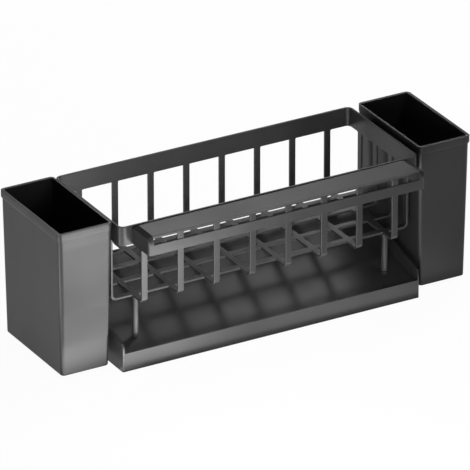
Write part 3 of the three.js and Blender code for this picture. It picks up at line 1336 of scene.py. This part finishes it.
@dataclass
class SideBox:
    """A deep moulded box with drafted walls, a stepped rim and rounded corners."""

    basket: SlottedBasket
    inner_x: float = 0.15406
    width: float = 0.053
    depth: float = 0.109
    middle: float = BASKET_MIDDLE_Y
    rise: float = 0.004
    height: float = 0.1375
    wall: float = 0.002
    floor: float = 0.0024
    corner: float = 0.004
    inner_taper: float = 0.003
    outer_taper: float = 0.0024
    end_taper: float = 0.0017
    rim: float = 0.007
    step: float = 0.001
    undercut: float = 0.0005
    undercut_height: float = 0.0012
    foot: float = 0.0012
    lip_round: float = 0.0006

    def _narrow(self, piece: Workpiece, share: float) -> None:
        """Draw the selection in by the walls' draft.

        Args:
            piece: The box so far.
            share: How far down the selection lies, as a share of the height.
        """
        both = (self.inner_taper + self.outer_taper) * share
        about = (self.inner_x, self.middle, 0)
        piece.resize((1 - both / self.width, 1 - 2 * self.end_taper * share / self.depth, 1), about)
        piece.move((self.inner_taper * share, 0, 0))

    def _moulding(self) -> bpy.types.Object:
        """Mould the right box.

        Returns:
            The box.
        """
        top = self.basket.top + self.rise
        bottom = top - self.height
        inner_middle = (self.inner_x, self.middle, top)
        piece = Workpiece.sheet(
            "right_box_moulding",
            self.width,
            self.depth,
            (self.inner_x + self.width / 2, self.middle, top),
        )
        # From the top down: rim, slanted undercut, flat step and drafted body.
        piece.all().bevel(self.corner, 8, corners=True)
        piece.all().extrude((0, 0, self.undercut_height - self.rim))
        piece.extrude((0, 0, -self.undercut_height))
        under = (self.width - self.undercut, self.depth - 2 * self.undercut)
        piece.resize((under[0] / self.width, under[1] / self.depth, 1), inner_middle)
        piece.extrude((0, 0, 0))
        body = (self.width - self.step, self.depth - 2 * self.step)
        piece.resize((body[0] / under[0], body[1] / under[1], 1), inner_middle)
        piece.extrude((0, 0, self.rim - self.height))
        self._narrow(piece, 1)
        piece.edges(lambda m, _: m.z < bottom + HAIR).bevel(self.foot, 4)
        piece.outward()
        piece.faces(lambda m, _: m.z > top - HAIR)
        # The inset leaves the same lip all round, and the resize thins it where the rim has no step.
        thick = self.wall + self.step
        piece.inset(thick)
        piece.resize(
            ((self.width - self.wall - thick) / (self.width - 2 * thick), 1, 1),
            (self.inner_x + self.width - thick, self.middle, top),
        )
        drop = self.height - self.floor
        piece.extrude((0, 0, -drop))
        self._narrow(piece, drop / self.height)
        piece.edges(lambda m, way: abs(m.z - top + drop) < HAIR and abs(way.z) < 1 - ALONG)
        piece.bevel(self.foot, 4)
        box = piece.close()
        weighted_bevel(box, [(lambda m, _: m.z > top - HAIR, self.lip_round)], 3)
        smooth(box)
        return box

    def build(self) -> None:
        """Make both boxes."""
        right = self._moulding()
        left = mirrored(right, "left_box_moulding")
        settle(right, Body.RIGHT_BOX, BOX_PLASTIC, "right_box")
        settle(left, Body.LEFT_BOX, BOX_PLASTIC, "left_box")


@dataclass
class HangingHardware:
    """Bent strips: hangers on the basket's ends, and hooks on the boxes that drop into them."""

    basket: SlottedBasket
    strip: float = 0.0007
    seam: float = 0.0003
    hanger_length: float = 0.018
    hook_length: float = 0.014
    spacing: float = 0.056
    rise: float = 0.0015
    height: float = 0.012
    lip: float = 0.0097
    hook_leg: float = 0.0073
    bend: float = 0.00077
    edge: float = 0.00012

    def _strip(
        self,
        name: str,
        span: tuple[float, float],
        back: float,
        legs: tuple[float, float],
        length: float,
        y: float,
    ) -> bpy.types.Object:
        """Bend one strip into a U, with both legs drawn out from its back.

        Args:
            name: The piece's name.
            span: Outer faces of the inner and the outer leg, along X.
            back: Outer face of the back, along Z.
            legs: Lengths of the inner and the outer leg, less than 0 to draw them down.
            length: The strip's width along Y.
            y: Its middle along Y.

        Returns:
            The strip.
        """
        piece = Workpiece.sheet(name, span[1] - span[0], length, (sum(span) / 2, y, back))
        for x, leg in zip(span, legs):
            piece.edges(lambda m, _: abs(m.x - x) < HAIR and abs(m.z - back) < HAIR)
            piece.extrude((0, 0, leg))
        piece.edges(lambda m, way: abs(m.z - back) < HAIR and abs(way.y) > ALONG)
        piece.bevel(self.bend, 4)
        piece.outward()
        thing = piece.close()
        thicken(thing, self.strip, careful=False)
        round_over(thing, self.edge, 2, 50)
        return thing

    def _right(self, row: Row) -> tuple[bpy.types.Object, bpy.types.Object]:
        """Bend a row's hanger and hook at the right end.

        Args:
            row: The row.

        Returns:
            The hanger and the hook.
        """
        layer = self.strip + self.seam
        wall = self.basket.length / 2
        inner = wall + self.seam + layer
        low = self.basket.top - self.basket.band + self.rise
        y = self.basket.middle + row.value * self.spacing / 2
        hanger = self._strip(
            f"right_hanger_{row.word}_strip",
            (wall + self.seam, inner + layer + self.strip),
            low,
            (self.height, self.lip),
            self.hanger_length,
            y,
        )
        hook = self._strip(
            f"right_hook_{row.word}_strip",
            (inner, inner + 2 * layer + self.strip),
            low + self.lip + self.seam + self.strip,
            (-self.hook_leg, -self.hook_leg),
            self.hook_length,
            y,
        )
        return hanger, hook

    def build(self) -> None:
        """Make all hangers and hooks."""
        for row in Row:
            hanger, hook = self._right(row)
            left_hanger = mirrored(hanger, f"left_hanger_{row.word}_strip")
            left_hook = mirrored(hook, f"left_hook_{row.word}_strip")
            settle(hanger, Body.BASKET, FIXING_STEEL, f"right_hanger_{row.word}")
            settle(left_hanger, Body.BASKET, FIXING_STEEL, f"left_hanger_{row.word}")
            settle(hook, Body.RIGHT_BOX, FIXING_STEEL, f"right_hook_{row.word}")
            settle(left_hook, Body.LEFT_BOX, FIXING_STEEL, f"left_hook_{row.word}")


def area_lamp(
    name: str, place: Point, turn: Euler, size: tuple[float, float], brightness: float
) -> bpy.types.Light:
    """Put a rectangular lamp in the scene, unseen by the camera itself.

    Args:
        name: Its name.
        place: Its middle.
        turn: How it is turned. Unturned, it shines down.
        size: Its width and its height.
        brightness: How bright its face is, where 1 shows as white.

    Returns:
        The lamp.
    """
    lamp = bpy.data.lights.new(name, "AREA")
    lamp.shape = "RECTANGLE"
    lamp.size, lamp.size_y = size
    lamp.energy = math.pi * size[0] * size[1] * brightness
    thing = bpy.data.objects.new(name, lamp)
    thing.location = place
    thing.rotation_euler = turn
    thing.visible_camera = False
    bpy.context.scene.collection.objects.link(thing)
    return lamp


@dataclass(frozen=True)
class Softbox:
    """A soft rectangular lamp that faces the object."""

    name: str
    place: Point
    size: tuple[float, float]
    brightness: float
    target: Point = (0, 0, 0.07)

    def hang(self) -> None:
        """Put the lamp in the scene."""
        way = Vector(self.target) - Vector(self.place)
        turn = way.to_track_quat("-Z", "Y").to_euler()
        area_lamp(self.name, self.place, turn, self.size, self.brightness)


@dataclass(frozen=True)
class LightPool:
    """A pool of light on the floor, brightest in its middle, that shines up.

    The object's upright faces are seen from above, so what they mirror is the floor.
    """

    name: str
    middle: tuple[float, float]
    reach: tuple[float, float]
    brightness: float
    stop: float = math.inf
    lift: float = 0.001

    def _fade(self, tree: bpy.types.NodeTree) -> None:
        """Let the lamp's brightness fade from the pool's middle to its reach.

        Args:
            tree: The lamp's node tree.
        """
        place = tree.nodes.new("ShaderNodeNewGeometry").outputs["Position"]
        scaled = tree.nodes.new("ShaderNodeMapping")
        scaled.vector_type = "TEXTURE"
        scaled.inputs["Location"].default_value = (*self.middle, 0)
        scaled.inputs["Scale"].default_value = (*self.reach, 1)
        far = tree.nodes.new("ShaderNodeVectorMath")
        far.operation = "LENGTH"
        fade = tree.nodes.new("ShaderNodeMapRange")
        fade.interpolation_type = "SMOOTHSTEP"
        fade.inputs["To Min"].default_value = 1
        fade.inputs["To Max"].default_value = 0
        tree.links.new(place, scaled.inputs["Vector"])
        tree.links.new(scaled.outputs["Vector"], far.inputs[0])
        tree.links.new(far.outputs["Value"], fade.inputs["Value"])
        tree.links.new(fade.outputs["Result"], tree.nodes["Emission"].inputs["Strength"])

    def spread(self) -> None:
        """Lay the pool on the floor, ending at its stop along Y."""
        low = self.middle[1] - self.reach[1]
        high = min(self.stop, self.middle[1] + self.reach[1])
        place = (self.middle[0], (low + high) / 2, self.lift)
        size = (2 * self.reach[0], high - low)
        lamp = area_lamp(self.name, place, Euler((math.pi, 0, 0)), size, self.brightness)
        lamp.use_nodes = True
        self._fade(lamp.node_tree)


# The pools in front end just before the tray and the boxes, so that none lies under them.
TRAY_STOP = -0.056
BOX_STOP = -0.042


@dataclass
class Studio:
    """A plain white floor, soft lamps and a long lens that sees what the photograph shows."""

    camera_place: Point = (-2.99439, -5.25259, 2.99049)
    camera_turn: Point = (math.radians(64.27), 0.0, math.radians(-29.60))
    lens: float = 585.18
    sensor: float = 36
    view_end: float = 50
    fill: float = 0.05
    floor_size: float = 8
    floor_drop: float = 0.00005
    floor_grey: float = 0.9
    floor_roughness: float = 0.9
    glow: float = 0.96
    mirrored_glow: float = 0.85
    lamps: tuple[Softbox, ...] = (
        Softbox("front_softbox", (-0.167, -0.435, 0.136), (0.16, 0.27), 10.5, (-0.05, 0, 0.11)),
        Softbox("high_softbox", (0.407, 0.19, 1.183), (0.36, 0.36), 2.0),
        Softbox("top_softbox", (0.566, 0.327, 1.076), (0.21, 0.21), 15.5),
        Softbox("side_softbox", (0.658, 0.461, 0.962), (0.18, 0.18), 4.5),
        Softbox("rear_softbox", (0.40, 0.857, 0.81), (0.36, 0.36), 3.8),
        Softbox("low_softbox", (0.73, 0.94, 0.24), (0.26, 0.22), 9.0),
        Softbox("overhead_softbox", (0, -0.05, 2.0), (1.3, 1.0), 2.4),
        Softbox("edge_softbox", (0.53, -0.53, 1.0), (0.16, 0.16), 24.0),
    )
    pools: tuple[LightPool, ...] = (
        LightPool("tray_pool", (0.05, -0.06), (0.22, 0.08), 3.2, TRAY_STOP),
        LightPool("left_pool", (-0.12, -0.175), (0.14, 0.20), 15.0, TRAY_STOP),
        LightPool("box_pool", (-0.215, -0.145), (0.12, 0.17), 14.5, BOX_STOP),
        LightPool("front_pool", (-0.055, -0.285), (0.14, 0.17), 24.5, TRAY_STOP),
        LightPool("far_pool", (-0.10, -0.50), (0.35, 0.25), 13.0, TRAY_STOP),
        LightPool("side_pool", (-0.40, -0.05), (0.14, 0.12), 14.0),
        LightPool("right_pool", (0.70, 0.22), (0.42, 0.32), 9.0),
        LightPool("back_pool", (0.42, 0.42), (0.30, 0.30), 6.0),
        LightPool("back_left_pool", (-0.62, -0.36), (0.30, 0.26), 6.0),
    )

    def _white_share(self, tree: bpy.types.NodeTree) -> bpy.types.NodeSocket:
        """Add the floor's white share: for the camera, and for what shows in gloss or glass.

        Args:
            tree: The floor's node tree.

        Returns:
            The share, 0 for the light that falls on the object.
        """
        path = tree.nodes.new("ShaderNodeLightPath")
        greatest = None
        for kind, share in (
            ("Is Camera Ray", self.glow),
            ("Is Glossy Ray", self.mirrored_glow),
            ("Is Transmission Ray", self.mirrored_glow),
        ):
            part = tree.nodes.new("ShaderNodeMath")
            part.operation = "MULTIPLY"
            part.inputs[1].default_value = share
            tree.links.new(path.outputs[kind], part.inputs[0])
            if greatest is None:
                greatest = part.outputs["Value"]
                continue
            greater = tree.nodes.new("ShaderNodeMath")
            greater.operation = "MAXIMUM"
            tree.links.new(greatest, greater.inputs[0])
            tree.links.new(part.outputs["Value"], greater.inputs[1])
            greatest = greater.outputs["Value"]
        return greatest

    def floor(self) -> None:
        """Lay the floor, white to the camera but still shaded under the object."""
        middle = (0, 0, -self.floor_drop)
        thing = Workpiece.sheet("studio_floor", self.floor_size, self.floor_size, middle).close()
        graph = Graph("studio_white")
        graph.shader.inputs["Roughness"].default_value = self.floor_roughness
        graph.shader.inputs["Base Color"].default_value = (*[self.floor_grey] * 3, 1)
        graph.shader.inputs["Specular IOR Level"].default_value = 0.0
        glow = graph.add("ShaderNodeEmission")
        glow.inputs["Color"].default_value = (1, 1, 1, 1)
        glow.inputs["Strength"].default_value = 1.0
        mix = graph.add("ShaderNodeMixShader")
        graph.join(self._white_share(graph.tree), mix.inputs[0])
        graph.join(graph.shader.outputs[0], mix.inputs[1])
        graph.join(glow.outputs[0], mix.inputs[2])
        graph.join(mix.outputs[0], graph.tree.nodes["Material Output"].inputs["Surface"])
        thing.data.materials.append(graph.material)

    def light(self) -> None:
        """Set the world to a weak fill, hang the softboxes and spread the pools."""
        world = bpy.data.worlds.new("studio_world")
        world.use_nodes = True
        bpy.context.scene.world = world
        back = world.node_tree.nodes["Background"]
        back.inputs["Color"].default_value = (1, 1, 1, 1)
        back.inputs["Strength"].default_value = self.fill
        for lamp in self.lamps:
            lamp.hang()
        for pool in self.pools:
            pool.spread()

    def camera(self) -> None:
        """Set up the camera where the photograph was taken from."""
        data = bpy.data.cameras.new("photo_camera")
        data.sensor_fit = "HORIZONTAL"
        data.sensor_width = self.sensor
        data.lens = self.lens
        data.clip_end = self.view_end
        thing = bpy.data.objects.new("photo_camera", data)
        thing.location = self.camera_place
        thing.rotation_euler = self.camera_turn
        bpy.context.scene.collection.objects.link(thing)
        bpy.context.scene.camera = thing

    def build(self) -> None:
        """Set up the whole studio."""
        self.floor()
        self.light()
        self.camera()
        bpy.context.scene.view_settings.view_transform = "Standard"


def main() -> None:
    """Set up the studio and build every sub-assembly in order."""
    logging.basicConfig(level=logging.INFO, format="%(message)s")
    Studio().build()
    basket = SlottedBasket()
    tray = DripTray(basket)
    basket.build()
    TowelRail(basket).build()
    tray.build()
    Posts(basket, tray).build()
    SideBox(basket).build()
    HangingHardware(basket).build()


if __name__ == "__main__":
    main()
